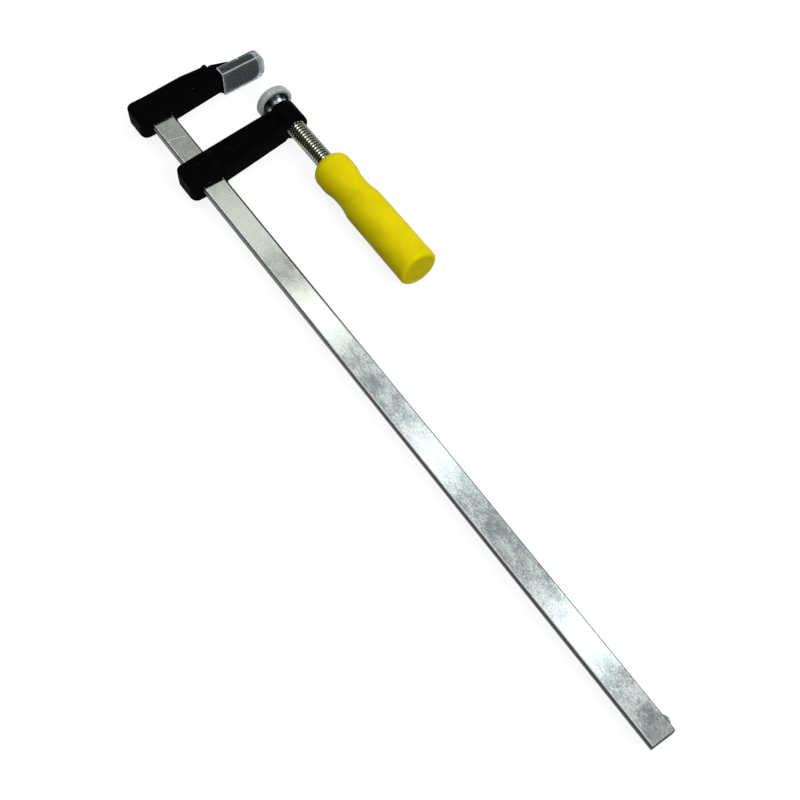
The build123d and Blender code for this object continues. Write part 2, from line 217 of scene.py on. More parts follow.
def soft_lamp(name, place, aim, width, depth, watts):
    """A lamp with a broad face, that looks at a point."""
    lamp = bpy.data.objects.new(name, bpy.data.lights.new(name, "AREA"))
    lamp.data.shape = "RECTANGLE"
    lamp.data.size = width
    lamp.data.size_y = depth
    lamp.data.energy = watts
    lamp.location = place
    lamp.rotation_euler = (Vector(aim) - Vector(place)).to_track_quat("-Z", "Y").to_euler()
    scene.collection.objects.link(lamp)


for name, place, aim, watts in SOFTBOXES:
    soft_lamp(name, place, aim, SOFTBOX_SIDE, SOFTBOX_SIDE, watts)
for name, x, y, width, depth, level in CEILING_LAMPS:
    soft_lamp(name, (x, y, LAMP_HEIGHT), (x, y, 0), width, depth, level * width * depth * WATTS_PER_AREA)
print("lamps:", len(SOFTBOXES) + len(CEILING_LAMPS))

# %% [markdown]
# ## Words for a finish
# Each finish starts from one shader and the piece's own Object coordinates, so that its pattern stays on
# the piece when the clamp moves. A few helpers stand for what a finish is made of: a cloudy noise, a mix of
# two colours, and a relief that roughens the light without changing the mesh.

# %% Helpers that make a finish
def start_finish(name, **sockets):
    """A new finish: its material, its tree, its shader and the piece's own coordinates."""
    finish = bpy.data.materials.new(name)
    finish.use_nodes = True
    tree = finish.node_tree
    shader = tree.nodes["Principled BSDF"]
    for socket, value in sockets.items():
        shader.inputs[socket.replace("_", " ")].default_value = value
    return finish, tree, shader, put(tree, "ShaderNodeTexCoord").outputs["Object"]


def stretched(tree, place, scale):
    """Coordinates scaled by their own amount along each axis."""
    return put(tree, "ShaderNodeMapping", {"Vector": place, "Scale": scale}).outputs[0]


def cloud(tree, place, scale, detail=4.0, roughness=0.55):
    """Noise from 0 to 1, with features of about one metre over the scale."""
    return put(tree, "ShaderNodeTexNoise", {"Vector": place, "Scale": scale, "Detail": detail,
                                            "Roughness": roughness}).outputs["Fac"]


def blend_colours(tree, share, first, second):
    """Two colours mixed, each one a colour or the result of another mix."""
    full = [c if isinstance(c, bpy.types.NodeSocket) else (*c, 1) for c in (first, second)]
    return put(tree, "ShaderNodeMix", {0: share, 6: full[0], 7: full[1]}, data_type="RGBA").outputs[2]


def relief(tree, shader, *layers):
    """Bumps laid over each other on a shader, each a height from 0 to 1 and its depth in metres."""
    normal = None
    for height, depth in layers:
        sockets = {"Height": height, "Distance": depth, "Strength": 1.0}
        if normal:
            sockets["Normal"] = normal
        normal = put(tree, "ShaderNodeBump", sockets).outputs[0]
    tree.links.new(normal, shader.inputs["Normal"])


def dress(tree, shader, colour, roughness):
    """Links a finish's colour and roughness to its shader."""
    tree.links.new(colour, shader.inputs["Base Color"])
    tree.links.new(roughness, shader.inputs["Roughness"])


print("helpers: start_finish, stretched, cloud, blend_colours, relief, dress")

# %% [markdown]
# ## Zinc on the bar
# The bar is cold-drawn steel with a zinc coat. The coat is a fine mottle of pale, slightly rough flecks and
# smoother blue-grey ones, straw-coloured by the jaws and bluer towards the free end. A few smudges show
# where hands and the sliding jaw have been, and a light scratch crosses the bar between the jaws. A painted
# picture could hold all this, but it would stretch when the bar gets longer. So noise, distances and ramps
# make it.

# %% Finish of the bar's wide faces
STRAW_TO_BLUE = (0.20, 0.36)
DULL_STRAW, DULL_BLUE = (0.68, 0.72, 0.65), (0.45, 0.54, 0.55)
PALE_STRAW, PALE_BLUE = (0.81, 0.85, 0.78), (0.83, 0.88, 0.865)
FLECK_SHARE, PATCH_SHARE, MOTTLE_RANGE = 0.6, 0.4, (0.385, 0.615)
# X, Y and reach of each smudge
SMUDGES = ((0.198, -0.092, 0.026), (0.612, -0.083, 0.010), (0.655, -0.090, 0.022))
SMUDGE_GREY, SMUDGE_SHARE, SMUDGE_CORE = (0.36, 0.37, 0.37), 0.5, 0.3
SMUDGE_FRAY, FRAY_MEAN = 0.03, 0.016
SCRATCH_X, SCRATCH_SLANT, SCRATCH_FRAY = 0.0551, 0.26, 0.0006
SCRATCH_SIDES, SCRATCH_SHARE, SCRATCH_STOP = (0.0009, 0.0005), 0.6, (-0.0825, -0.0845)
SCRATCH_ZINC = (0.85, 0.88, 0.82)
GLOSS_DULL, GLOSS_PALE, GLOSS_RUBBED = 0.11, 0.20, 0.45

zinc_bar, tree, shader, place = start_finish("zinc_bar", Specular_IOR_Level=0.1)
axes = split(tree, place)
flecks = cloud(tree, stretched(tree, place, (0.62, 1.0, 1.0)), 900, 6, 0.72)
patches = cloud(tree, stretched(tree, place, (0.6, 1.0, 1.0)), 120, 3)
mixed = calc(tree, "MULTIPLY_ADD", patches, PATCH_SHARE, calc(tree, "MULTIPLY", flecks, FLECK_SHARE))
mottle = pick(tree, mixed, *MOTTLE_RANGE)
to_end = pick(tree, axes["X"], *STRAW_TO_BLUE)
dull = blend_colours(tree, to_end, DULL_STRAW, DULL_BLUE)
pale = blend_colours(tree, to_end, PALE_STRAW, PALE_BLUE)
face_zinc = blend_colours(tree, mottle, dull, pale)
for x, y, reach in SMUDGES:
    off = put(tree, "ShaderNodeVectorMath", {0: place, 1: (x, y, 0)}, operation="DISTANCE").outputs["Value"]
    frayed = calc(tree, "MULTIPLY_ADD", flecks, SMUDGE_FRAY, off)
    smudge = pick(tree, frayed, reach + FRAY_MEAN, reach * SMUDGE_CORE + FRAY_MEAN, 0.0, SMUDGE_SHARE)
    face_zinc = blend_colours(tree, smudge, face_zinc, SMUDGE_GREY)
across = calc(tree, "MULTIPLY_ADD", axes["Y"], SCRATCH_SLANT, SCRATCH_X)
off = calc(tree, "ABSOLUTE", calc(tree, "SUBTRACT", axes["X"], across))
frayed = calc(tree, "MULTIPLY_ADD", flecks, SCRATCH_FRAY, off)
scratch = calc(tree, "MINIMUM", pick(tree, frayed, *SCRATCH_SIDES, 0.0, SCRATCH_SHARE),
               pick(tree, axes["Y"], *SCRATCH_STOP))
face_zinc = blend_colours(tree, scratch, face_zinc, SCRATCH_ZINC)
face_gloss = between(tree, mottle, GLOSS_DULL, GLOSS_PALE)
print("zinc_bar's faces:", len(tree.nodes), "nodes")

# %% [markdown]
# ## The bar's edges
# The near rounding is rougher and gets a painted highlight: pale towards the free end, dimmed by the jaws.
# The narrow edges, the sawn end and the far rounding are dark and dull, a painted dark reflection, with a
# lighter stripe of painted reflection along an edge, which lies lower towards the free end. By the jaws a
# painted shadow, a dark line, also runs along the far side of the wide face. Edges are told from the wide
# faces by the direction they face on the bar, so the swaged stop gets the painted dark reflection round its
# sides as well.

# %% Finish of the bar's edges
# Colours of the painted highlight on the near rounding, by the jaws and by the free end.
HIGHLIGHT_BY_JAWS, HIGHLIGHT_BY_END = (0.40, 0.42, 0.39), (0.95, 0.97, 0.95)
NEAR_ROUNDING, FAR_ROUNDING, END_FACING = (-0.10, -0.25), (0.05, 0.25), (0.05, 0.25)
SIDEWAYS, DOWNWARD = (0.55, 0.25), (-0.99, -0.93)
# Painted shadow: where the dark line along the far side lies, and where it stops towards the free end.
FAR_SHADOW_Y, FAR_SHADOW_STOP = (-0.0822, -0.0812), (0.36, 0.20)
# Painted reflection: the near-black tone of the edges and the lighter stripe along them.
STRIPE_TOP, STRIPE_FOOT = (0.0020, -0.0002), (-0.0006, -0.0040)
STRIPE_FADE, STRIPE_FRAY = 0.0008, 0.0016
STRIPE_BY_JAWS, STRIPE_BY_END, EDGE_DARK_REFLECTION = (0.56, 0.59, 0.60), (0.30, 0.32, 0.33), (0.006, 0.007, 0.008)
EDGE_ROUGHNESS = 0.5
DRAWN_LINES, ZINC_RELIEF = (6, 1400, 1400), 0.000012

facing = split(tree, put(tree, "ShaderNodeTexCoord").outputs["Normal"])
# Painted highlight: the near rounding's colour, dimmed by the jaws and pale towards the free end.
near_highlight = pick(tree, facing["Y"], *NEAR_ROUNDING)
face_zinc = blend_colours(tree, near_highlight, face_zinc, blend_colours(tree, to_end, HIGHLIGHT_BY_JAWS, HIGHLIGHT_BY_END))
face_gloss = between(tree, calc(tree, "MAXIMUM", near_highlight, scratch), face_gloss, GLOSS_RUBBED)

# Painted dark reflection on the narrow edges, the sawn end and the far rounding, with a lighter stripe of
# painted reflection.
upright = calc(tree, "MINIMUM", pick(tree, facing["Z"], *SIDEWAYS), pick(tree, facing["Z"], *DOWNWARD))
end_cut = pick(tree, facing["X"], *END_FACING)
# Painted shadow: a dark line along the far side of the wide face, by the jaws.
far_shadow = calc(tree, "MINIMUM", pick(tree, axes["Y"], *FAR_SHADOW_Y), pick(tree, axes["X"], *FAR_SHADOW_STOP))
rim = calc(tree, "MAXIMUM", calc(tree, "MAXIMUM", pick(tree, facing["Y"], *FAR_ROUNDING), end_cut), far_shadow)
edge = calc(tree, "MAXIMUM", upright, rim)
level = calc(tree, "MULTIPLY_ADD", flecks, STRIPE_FRAY, axes["Z"])
highest = between(tree, to_end, *STRIPE_TOP)
lowest = between(tree, to_end, *STRIPE_FOOT)
stripe = calc(tree, "MINIMUM", pick(tree, level, calc(tree, "ADD", highest, STRIPE_FADE), highest),
              pick(tree, level, calc(tree, "SUBTRACT", lowest, STRIPE_FADE), lowest))
stripe = calc(tree, "MINIMUM", stripe, calc(tree, "SUBTRACT", 1.0, end_cut))
stripe_reflection = blend_colours(tree, to_end, STRIPE_BY_JAWS, STRIPE_BY_END)
edge_reflection = blend_colours(tree, stripe, EDGE_DARK_REFLECTION, stripe_reflection)
dress(tree, shader, blend_colours(tree, edge, face_zinc, edge_reflection),
      between(tree, edge, face_gloss, EDGE_ROUGHNESS))
tree.links.new(calc(tree, "SUBTRACT", 1.0, edge), shader.inputs["Metallic"])
drawn = cloud(tree, stretched(tree, place, DRAWN_LINES), 1.0, 3)
relief(tree, shader, (drawn, ZINC_RELIEF), (flecks, ZINC_RELIEF))
print("zinc_bar:", len(tree.nodes), "nodes")

# %% [markdown]
# ## Bright zinc on the pad and the screw
# The pad is turned and plated bright, and its zinc has the faint blue and straw tints of a thin passivated
# coat. The groove behind its plate is near black, a painted shade. The screw has the same coat, with
# painted shade in the roots of its thread, which are darker and rougher than the crests. Groove and roots
# are found by their distance from the screw's axis, so the painted shade follows the shape. Both keep a dark
# specular tint, because bare metal would turn white where it is seen edge on.

# %% Finishes of the pad and the screw
# The near-black tone by the plate is painted shade in the groove.
PAD_BLUE, PAD_STRAW, PAD_GROOVE_SHADE = (0.30, 0.38, 0.48), (0.54, 0.56, 0.535), (0.035, 0.037, 0.038)
PAD_GROOVE, PAD_FRAY, PAD_EDGE_ON = (0.0092, 0.0104), 0.0012, (0.5, 0.5, 0.5, 1)
# The roots' dark tone is painted shade.
ROOT_SHADE, CREST_BRIGHT = (0.075, 0.082, 0.058), (0.44, 0.47, 0.39)
ROOT_TO_CREST, THREAD_FRAY, THREAD_EDGE_ON = (0.0071, 0.0080), 0.0003, (0.12, 0.12, 0.12, 1)
ROOT_ROUGHNESS = 0.36


def from_axis(tree, place):
    """Distance from the screw's axis."""
    flat = stretched(tree, place, (0, 1, 1))
    return put(tree, "ShaderNodeVectorMath", {0: flat}, operation="LENGTH").outputs["Value"]


zinc_pad, tree, shader, place = start_finish("zinc_pad", Metallic=1.0, Specular_Tint=PAD_EDGE_ON)
tint = cloud(tree, place, 90, 3)
fine = cloud(tree, place, 1500, 4)
clean = blend_colours(tree, pick(tree, tint, 0.38, 0.64), PAD_BLUE, PAD_STRAW)
# Painted shade: the groove behind the plate turns near black, by its distance from the axis.
groove_shade = pick(tree, calc(tree, "MULTIPLY_ADD", fine, PAD_FRAY, from_axis(tree, place)), *PAD_GROOVE)
dress(tree, shader, blend_colours(tree, groove_shade, clean, PAD_GROOVE_SHADE), pick(tree, fine, 0.3, 0.7, 0.16, 0.28))
relief(tree, shader, (cloud(tree, stretched(tree, place, (2600, 60, 60)), 1.0, 2), ZINC_RELIEF))

zinc_thread, tree, shader, place = start_finish("zinc_thread", Metallic=1.0, Specular_Tint=THREAD_EDGE_ON)
fine = cloud(tree, place, 1300, 4)
# Painted shade: the roots of the thread are darker than its crests.
crest = pick(tree, calc(tree, "MULTIPLY_ADD", fine, THREAD_FRAY, from_axis(tree, place)), *ROOT_TO_CREST)
dress(tree, shader, blend_colours(tree, crest, ROOT_SHADE, CREST_BRIGHT),
      between(tree, crest, ROOT_ROUGHNESS, pick(tree, fine, 0.3, 0.7, 0.16, 0.24)))
relief(tree, shader, (fine, 0.000005))
print("zinc_pad and zinc_thread")

# %% [markdown]
# ## Black paint on the castings
# Both jaws are cast and dipped in black paint, which is dull and fills the grain of the casting without
# hiding it. A few pale specks of dust sit in it. The grain needs two sizes of relief: broad unevenness from
# the sand, and a fine skin.

# %% Finish of the castings
PAINT, WORN_PAINT, DUST = (0.0014, 0.0014, 0.0015), (0.0032, 0.0032, 0.0032), (0.16, 0.155, 0.14)
SAND_DEPTH, SKIN_DEPTH = 0.00012, 0.00003

black_paint, tree, shader, place = start_finish("black_paint", Specular_IOR_Level=0.008)
sand = cloud(tree, place, 330, 3)
skin = cloud(tree, place, 1900, 3)
dust = pick(tree, cloud(tree, place, 560, 1.0, 0.3), 0.795, 0.83)
worn = pick(tree, cloud(tree, place, 120, 5, 0.65), 0.52, 0.75)
paint = blend_colours(tree, worn, PAINT, WORN_PAINT)
dress(tree, shader, blend_colours(tree, dust, paint, DUST), pick(tree, skin, 0.3, 0.7, 0.50, 0.66))
relief(tree, shader, (sand, SAND_DEPTH), (skin, SKIN_DEPTH))
print("black_paint:", len(tree.nodes), "nodes")

# %% [markdown]
# ## Yellow plastic
# The handle is moulded in one strong yellow, with a satin skin that is a little uneven. Hands leave it
# slightly darker in patches. The plug at its end is a separate moulding of almost the same colour; its
# slightly deeper tones are painted shade on the handle's end face.

# %% Finishes of the handle and its plug
PEEL_DEPTH, WAVE_DEPTH = 0.00003, 0.00018


def yellow_plastic(name, light, deep):
    """Satin moulded plastic between a light and a deeper tone."""
    finish, tree, shader, place = start_finish(name, Specular_IOR_Level=0.02)
    hands = cloud(tree, stretched(tree, place, (0.6, 1, 1)), 75, 4)
    peel = cloud(tree, place, 850, 2)
    dress(tree, shader, blend_colours(tree, pick(tree, hands, 0.35, 0.72), light, deep),
          pick(tree, hands, 0.3, 0.7, 0.36, 0.48))
    relief(tree, shader, (peel, PEEL_DEPTH), (cloud(tree, place, 140, 2), WAVE_DEPTH))
    return finish


yellow_grip = yellow_plastic("yellow_grip", (0.665, 0.565, 0.0022), (0.60, 0.50, 0.002))
# The plug's tones are a little darker than the grip's: painted shade on the end face.
yellow_plug = yellow_plastic("yellow_plug", (0.60, 0.50, 0.0025), (0.53, 0.43, 0.0025))
print("yellow_grip and yellow_plug")

# %% [markdown]
# ## Soft clear caps
# The two caps are soft clear plastic, cloudy enough to look grey over the black iron and pale where nothing
# is behind them. Glass alone would be too clear and paint too solid, so most of the light goes through a
# slightly rough surface, tinted by each wall it passes, and the rest is scattered by it. Where the tip cap's
# wall bends it is paler and less clear, a painted highlight that draws its edges as light lines. The pad's
# cap is the cloudier one of the two.

# %% Finishes of the caps
# The tone at the tip cap's bends is a painted highlight.
CLEAR_AT_BENDS, BEND_HIGHLIGHT, WALL_WAVE = 0.55, (0.69, 0.705, 0.70), 0.0002
FRONT_BEND, BACK_BEND, SIDE_BEND = (-0.0016, -0.0006), (-0.0088, -0.0098), (0.0116, 0.0126)
MOUTH_BEND, END_BEND, END_SHARE = (-0.0238, -0.0250), (0.0120, 0.0155), 0.85


def clouded_plastic(name, light, deep, clear, bends=None):
    """Soft plastic that lets a share of the light through; where its wall bends, a painted highlight: a paler
    tone that lets less through.
    """
    finish, tree, shader, place = start_finish(name, IOR=1.30, Specular_IOR_Level=0.5,
                                               Transmission_Weight=clear)
    haze = cloud(tree, place, 160, 4)
    tone = blend_colours(tree, pick(tree, haze, 0.32, 0.7), light, deep)
    if bends:
        # Painted highlight along the bends: a paler tone that lets less light through.
        bend_highlight = bends(tree, place)
        tone = blend_colours(tree, bend_highlight, tone, BEND_HIGHLIGHT)
        through = between(tree, bend_highlight, clear, clear * CLEAR_AT_BENDS)
        tree.links.new(through, shader.inputs["Transmission Weight"])
    dress(tree, shader, tone, pick(tree, haze, 0.3, 0.7, 0.05, 0.10))
    relief(tree, shader, (cloud(tree, place, 95, 2), WALL_WAVE))
    return finish


def tip_highlight_bends(tree, place):
    """Where the tip cap's wall bends and gets its painted highlight: along its four long edges, at its mouth
    and at its closed end.
    """
    axes = split(tree, place)
    faces = calc(tree, "MAXIMUM", pick(tree, axes["X"], *FRONT_BEND), pick(tree, axes["X"], *BACK_BEND))
    sides = pick(tree, calc(tree, "ABSOLUTE", axes["Z"]), *SIDE_BEND)
    mouth = pick(tree, axes["Y"], *MOUTH_BEND)
    end = pick(tree, axes["Y"], *END_BEND, 0.0, END_SHARE)
    return calc(tree, "MAXIMUM", calc(tree, "MINIMUM", faces, sides), calc(tree, "MAXIMUM", mouth, end))


soft_cap = clouded_plastic("soft_cap", (0.55, 0.66, 0.72), (0.48, 0.58, 0.64), 0.955, tip_highlight_bends)
soft_pad_cap = clouded_plastic("soft_pad_cap", (0.62, 0.65, 0.655), (0.52, 0.55, 0.555), 0.45)
print("soft_cap and soft_pad_cap")

# %% [markdown]
# ## Pieces from meshes
# A finished piece sits at the origin, with its place in its mesh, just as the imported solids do. Three
# helpers make every piece: one that closes a mesh and hands it over to its body, one that rounds the
# corners of an outline, and a lathe that turns an outline about the screw's axis.

# %% Helpers that make pieces
MERGE_PIECE, MERGE_LATHE = 1e-6, 1e-7
SHARP_ANGLE = math.radians(38)


def finish_piece(name, bm, finish, body, slot, *stands_for):
    """Makes a piece of a mesh, with its faces outwards, and gives it to its body."""
    bmesh.ops.remove_doubles(bm, verts=bm.verts, dist=MERGE_PIECE)
    bmesh.ops.recalc_face_normals(bm, faces=bm.faces)
    mesh = bpy.data.meshes.new(name)
    bm.to_mesh(mesh)
    bm.free()
    mesh.materials.clear()
    mesh.materials.append(finish)
    mesh.shade_smooth()
    mesh.set_sharp_from_angle(angle=SHARP_ANGLE)
    piece = bpy.data.objects.new(name, mesh)
    scene.collection.objects.link(piece)
    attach(piece, body)
    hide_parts(*stands_for)
    print(name, "on", body, "with", len(mesh.polygons), "faces")


def rounded(corners, steps=7):
    """Points along an outline of corners, each given as X, radius and rounding in millimetres."""
    points = []
    for before, corner, after in zip(corners[-1:] + corners[:-1], corners, corners[1:] + corners[:1]):
        here, rounding = Vector(corner[:2]), corner[2]
        if not rounding:
            points.append(here)
            continue
        back = (Vector(before[:2]) - here).normalized()
        on = (Vector(after[:2]) - here).normalized()
        half = back.angle(on) / 2
        middle = here + (back + on).normalized() * rounding / math.sin(half)
        first = here + back * rounding / math.tan(half) - middle
        last = here + on * rounding / math.tan(half) - middle
        points += [middle + first.slerp(last, k / steps) * rounding for k in range(steps + 1)]
    return points


def turn_outline(bm, outline, steps=128):
    """Turns an outline of X and radius, in millimetres, about the screw's axis."""
    angles = [2 * math.pi * k / steps for k in range(steps)]
    rings = [[bm.verts.new((x * MM, r * MM * math.cos(a), r * MM * math.sin(a))) for a in angles]
             for x, r in outline]
    for one, two in zip(rings, rings[1:]):
        for k in range(steps):
            bm.faces.new((one[k], one[k - 1], two[k - 1], two[k]))
    bmesh.ops.remove_doubles(bm, verts=bm.verts, dist=MERGE_LATHE)


print("helpers: finish_piece, rounded, turn_outline")

# %% [markdown]
# ## The bar
# The bar is a plain drawn section with a swaged stop near its free end, and its solid already has that
# shape. It keeps its own mesh and only takes the new finish. The washer inside the handle does the same.

# %% Dress the bar and the washer
for node, finish in (("bar", zinc_bar), ("handle_washer", zinc_pad)):
    for holder in nodes[node].material_slots:
        holder.material = finish
print("bar and washer keep their solids")

# %% [markdown]
# ## The two castings
# A sand casting has no crisp edge anywhere: corners are rounded, hollows are filled, and a faint seam runs
# where the two halves of the mould met. Bevels would round the edges but not the hollows. So a copy of each
# solid is given a new skin by a voxel remesh, which is then smoothed, made a little uneven, and raised
# along the mould's seam. The tapped hole is filled first and drilled again afterwards, because smoothing
# would spoil its thread.

# %% Helpers for a cast skin
SEAM_HEIGHT, SEAM_HALF, SEAM_FACING = 0.16 * MM, 0.9 * MM, 0.5
UNEVEN, BROAD, FINE = 0.10 * MM, (190, 0.7), (620, 0.3)


def editable(mesh):
    """A mesh opened for editing."""
    bm = bmesh.new()
    bm.from_mesh(mesh)
    return bm


def settled(blank):
    """The plain mesh of an object with its modifiers carried out. The object is removed."""
    bpy.context.view_layer.update()
    depsgraph = bpy.context.evaluated_depsgraph_get()
    result = bpy.data.meshes.new_from_object(blank.evaluated_get(depsgraph))
    bpy.data.objects.remove(blank)
    bm = editable(result)
    bpy.data.meshes.remove(result)
    return bm


def blank_of(bm):
    """An object that holds a mesh while its modifiers work on it."""
    mesh = bpy.data.meshes.new("blank")
    bm.to_mesh(mesh)
    bm.free()
    blank = bpy.data.objects.new("blank", mesh)
    scene.collection.objects.link(blank)
    return blank


def copy_of(node):
    """A merged copy of a node's loose triangles."""
    bm = editable(nodes[node].data)
    bmesh.ops.remove_doubles(bm, verts=bm.verts, dist=MERGE_PIECE)
    return bm


def new_skin(bm, voxel, passes):
    """The mesh under an even voxel skin, smoothed."""
    blank = blank_of(bm)
    skin = blank.modifiers.new("skin", "REMESH")
    skin.mode = "VOXEL"
    skin.voxel_size = voxel
    smooth = blank.modifiers.new("smooth", "SMOOTH")
    smooth.factor = 0.5
    smooth.iterations = passes
    return settled(blank)


def weather(bm, keep_clear):
    """Makes a cast skin uneven and raises the mould's seam, away from the machined places."""
    bm.normal_update()
    moves = []
    for vertex in bm.verts:
        spot, out = vertex.co, vertex.normal
        if keep_clear(spot):
            continue
        lift = sum(UNEVEN * noise.noise(spot * scale) * share for scale, share in (BROAD, FINE))
        if abs(spot.z) < SEAM_HALF and abs(out.z) < SEAM_FACING:
            lift += SEAM_HEIGHT * (1 - (spot.z / SEAM_HALF) ** 2)
        moves.append((vertex, out * lift))
    for vertex, move in moves:
        vertex.co += move


print("helpers: editable, settled, blank_of, copy_of, new_skin, weather")

# %% Cast the fixed jaw
CAST_VOXEL, CAST_PASSES = 0.55 * MM, 5
BAR_LOW, BAR_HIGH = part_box("bar")
SLOT_ROOM = 1.2 * MM
TIP_FROM_Y = -25 * MM


def by_the_bar(spot):
    """True inside the slot for the bar."""
    return (BAR_LOW.y - SLOT_ROOM < spot.y < BAR_HIGH.y + SLOT_ROOM
            and abs(spot.z) < BAR_HIGH.z + SLOT_ROOM)


bm = new_skin(copy_of("fixed_jaw"), CAST_VOXEL, CAST_PASSES)
weather(bm, lambda spot: by_the_bar(spot) or spot.y > TIP_FROM_Y)
finish_piece("fixed_casting", bm, black_paint, "rail", "black_paint", "fixed_jaw")

# %% Cast the sliding jaw
BOSS_FROM, BOSS_TO, HOLE_RADIUS, SINK = 52.5, 77.0, 8.2, 1.0
WIDE_RADIUS = HOLE_RADIUS + SINK


def drill(bm):
    """Cuts the screw's hole through the boss, countersunk at both ends."""
    cutter_bm = bmesh.new()
    turn_outline(cutter_bm, [(BOSS_FROM - SINK, 0), (BOSS_FROM - SINK, WIDE_RADIUS), (BOSS_FROM, WIDE_RADIUS),
                             (BOSS_FROM + SINK, HOLE_RADIUS), (BOSS_TO - SINK, HOLE_RADIUS),
                             (BOSS_TO, WIDE_RADIUS), (BOSS_TO + SINK, WIDE_RADIUS), (BOSS_TO + SINK, 0)],
                 steps=96)
    bmesh.ops.recalc_face_normals(cutter_bm, faces=cutter_bm.faces)
    casting, cutter = blank_of(bm), blank_of(cutter_bm)
    cut = casting.modifiers.new("drill", "BOOLEAN")
    cut.object = cutter
    cut.solver = "EXACT"
    made = settled(casting)
    bpy.data.objects.remove(cutter)
    return made


filled = copy_of("sliding_jaw")
turn_outline(filled, [(BOSS_FROM, 0), (BOSS_FROM, WIDE_RADIUS), (BOSS_TO, WIDE_RADIUS), (BOSS_TO, 0)])
bm = new_skin(filled, CAST_VOXEL, CAST_PASSES)
weather(bm, by_the_bar)
finish_piece("sliding_casting", drill(bm), black_paint, "sliding_jaw", "black_paint", "sliding_jaw")

# %% [markdown]
# ## Rivets
# Two rivets go through the fixed jaw and the bar. They repeat, so they are made by Geometry Nodes: one
# rivet is a shank with a low head at each end, and it is set on the points of a short line. The sizes are
# named inputs of the tree, set by their identifiers, and the result is made a plain mesh.

# %% Helpers for Geometry Nodes
def new_tree(name, sizes):
    """An empty Geometry Nodes tree with named sizes, in metres or as plain numbers."""
    tree = bpy.data.node_groups.new(name, "GeometryNodeTree")
    for title, value in sizes.items():
        socket = tree.interface.new_socket(title, in_out="INPUT", socket_type="NodeSocketFloat")
        socket.default_value = value
    tree.interface.new_socket("Geometry", in_out="OUTPUT", socket_type="NodeSocketGeometry")
    return tree, put(tree, "NodeGroupInput").outputs


def end_tree(tree, shape, finish):
    """Ends a tree with one real mesh that has its material."""
    real = put(tree, "GeometryNodeRealizeInstances", {0: shape})
    painted = put(tree, "GeometryNodeSetMaterial", {"Geometry": real.outputs[0], "Material": finish})
    put(tree, "NodeGroupOutput", {0: painted.outputs[0]})


def grown(tree, sizes):
    """The plain mesh that a tree gives for its sizes."""
    blank = blank_of(bmesh.new())
    modifier = blank.modifiers.new(tree.name, "NODES")
    modifier.node_group = tree
    for socket in tree.interface.items_tree:
        if socket.in_out == "INPUT":
            modifier[socket.identifier] = sizes[socket.name]
    return settled(blank)


print("helpers: new_tree, end_tree, grown")

# %% Set the rivets with Geometry Nodes
BAR_MIDDLE_Y = -0.090
RIVET_SIDES, HEAD_RINGS = 40, 16
rivet_sizes = {"Middle X": sum(ends_of("jaw_rivets")) / 2 * MM, "Spacing": 14.0 * MM, "Bar Y": BAR_MIDDLE_Y,
               "Length": 18.0 * MM, "Shank": 2.58 * MM, "Head": 3.3 * MM, "Rise": 0.55 * MM}

tree, size = new_tree("rivets", rivet_sizes)
shank = put(tree, "GeometryNodeMeshCylinder", {"Vertices": RIVET_SIDES, "Radius": size["Shank"],
                                               "Depth": size["Length"]})
flat = put(tree, "ShaderNodeCombineXYZ", {"X": size["Head"], "Y": size["Head"], "Z": size["Rise"]})
ball = put(tree, "GeometryNodeMeshUVSphere", {"Segments": RIVET_SIDES, "Rings": HEAD_RINGS, "Radius": 1.0})
rivet = put(tree, "GeometryNodeJoinGeometry")
tree.links.new(shank.outputs[0], rivet.inputs[0])
for side in (0.5, -0.5):
    lift = put(tree, "ShaderNodeCombineXYZ", {"Z": calc(tree, "MULTIPLY", size["Length"], side)})
    head = put(tree, "GeometryNodeTransform", {"Geometry": ball.outputs[0], "Translation": lift.outputs[0],
                                               "Scale": flat.outputs[0]})
    tree.links.new(head.outputs[0], rivet.inputs[0])
first_x = calc(tree, "SUBTRACT", size["Middle X"], calc(tree, "MULTIPLY", size["Spacing"], 0.5))
start = put(tree, "ShaderNodeCombineXYZ", {"X": first_x, "Y": size["Bar Y"]})
step = put(tree, "ShaderNodeCombineXYZ", {"X": size["Spacing"]})
row = put(tree, "GeometryNodeMeshLine", {"Count": 2, "Start Location": start.outputs[0],
                                         "Offset": step.outputs[0]})
spots = put(tree, "GeometryNodeInstanceOnPoints", {"Points": row.outputs[0], "Instance": rivet.outputs[0]})
end_tree(tree, spots.outputs[0], black_paint)
finish_piece("rivets", grown(tree, rivet_sizes), black_paint, "rail", "black_paint", "jaw_rivets")

# %% [markdown]
# ## The soft cap on the tip
# A soft cap is pulled over the fixed jaw's tip, and its wall shows no hard edge. Its solid already has the
# right form, wall and slot, so a copy gets a fine voxel skin and more smoothing than the castings, and the
# wall is then moved a little: it bellies where it is loose, and its mouth is wavy.

# %% Shape the tip cap
CAP_VOXEL, CAP_PASSES = 0.36 * MM, 9
CAP_MOUTH_Y, CAP_END_Y, CAP_HALF = -25.4 * MM, 17.0 * MM, 13.2 * MM
CAP_MIDDLE_X, CAP_FRONT = -5.25 * MM, 4 * MM
BELLY = 0.35 * MM
LIP_WAVE, LIP_REACH, LIP_SCALE = 0.45 * MM, 5 * MM, 130

